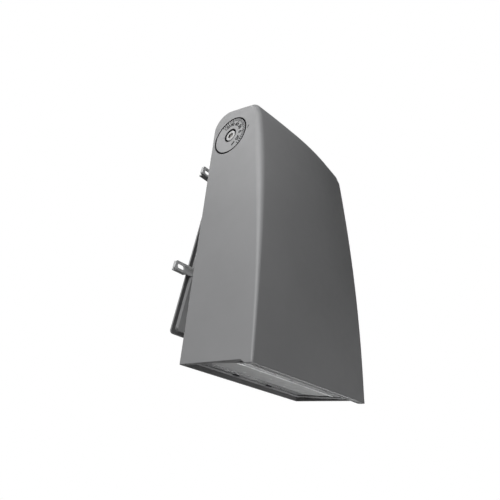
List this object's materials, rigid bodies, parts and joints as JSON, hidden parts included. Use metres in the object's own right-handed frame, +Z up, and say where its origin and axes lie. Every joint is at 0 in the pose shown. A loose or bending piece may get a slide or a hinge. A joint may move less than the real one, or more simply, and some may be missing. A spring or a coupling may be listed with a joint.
{
  "type": "wall pack light",
  "caption": "Wedge-shaped outdoor wall light whose lamp head tilts on a slotted wall plate through numbered side dials, with a ribbed lens underneath.",
  "frame": {"origin": "on the wall face, at the middle of the wall plate's gasket", "axes": "+Y into the wall, -Y out of the light's front, +Z up, X across"},
  "size_m": [0.165, 0.1479, 0.2736],
  "materials": {
    "powder_coat": "satin fine-texture powder coat",
    "powder_coat_plate": "satin fine-texture powder coat, darker",
    "zinc_steel": "zinc-plated",
    "stainless": "bright",
    "dial_paint": "satin, printed numbers",
    "foam": "closed-cell foam",
    "rubber": "matt",
    "friction_nylon": "matt",
    "brass": "turned",
    "earth_green": "plated green",
    "black_plastic": "matt",
    "lens_clear": "ribbed clear polycarbonate",
    "dark_screw": "blackened",
    "reflector_white": "white",
    "board_white": "white solder mask",
    "phosphor": "yellow phosphor",
    "bare_aluminium": "mill finish",
    "driver_case": "white plastic case",
    "terminal_white": "white"
  },
  "bodies": {
    "wall_mount": {"wall_gasket": "foam", "wall_plate": "powder_coat_plate", "upper_strap": "zinc_steel", "lower_strap": "zinc_steel", "strap_screws": "zinc_steel", "arm_left": "powder_coat_plate", "arm_right": "powder_coat_plate", "arm_screws": "zinc_steel", "thread_inserts": "brass", "friction_rings": "friction_nylon", "dial_left": "dial_paint", "dial_right": "dial_paint", "key_pins": "stainless", "lock_washers": "stainless", "wire_grommet": "rubber", "earth_screw": "earth_green"},
    "head": {"housing": "powder_coat", "rear_cover": "powder_coat_plate", "cover_gasket": "foam", "cover_screws": "stainless", "cable_gland": "black_plastic", "gland_nut": "black_plastic", "vent_plug": "black_plastic", "lens_frame": "powder_coat_plate", "lens": "lens_clear", "lens_gasket": "rubber", "lens_clips": "black_plastic", "frame_screws": "dark_screw", "reflector": "reflector_white", "led_board": "board_white", "led_chips": "phosphor", "heat_spreader": "bare_aluminium", "board_screws": "stainless", "spreader_screws": "stainless", "driver_tray": "zinc_steel", "tray_screws": "stainless", "driver": "driver_case", "driver_screws": "stainless", "terminal_block": "terminal_white"},
    "lock_screw_left": {"lock_screw_left": "stainless"},
    "lock_screw_right": {"lock_screw_right": "stainless"}
  },
  "joints": [
    {"name": "head_tilt", "type": "hinge", "parent": "wall_mount", "child": "head", "pos_m": [0, -0.046, 0.112], "axis": [-1, 0, 0], "range_deg": [-8, 82]},
    {"name": "lock_screw_left_turn", "type": "hinge", "parent": "wall_mount", "child": "lock_screw_left", "pos_m": [-0.0766, -0.046, 0.112], "axis": [-1, 0, 0], "range_deg": [0, 360]},
    {"name": "lock_screw_right_turn", "type": "hinge", "parent": "wall_mount", "child": "lock_screw_right", "pos_m": [0.0766, -0.046, 0.112], "axis": [1, 0, 0], "range_deg": [0, 360]}
  ]
}
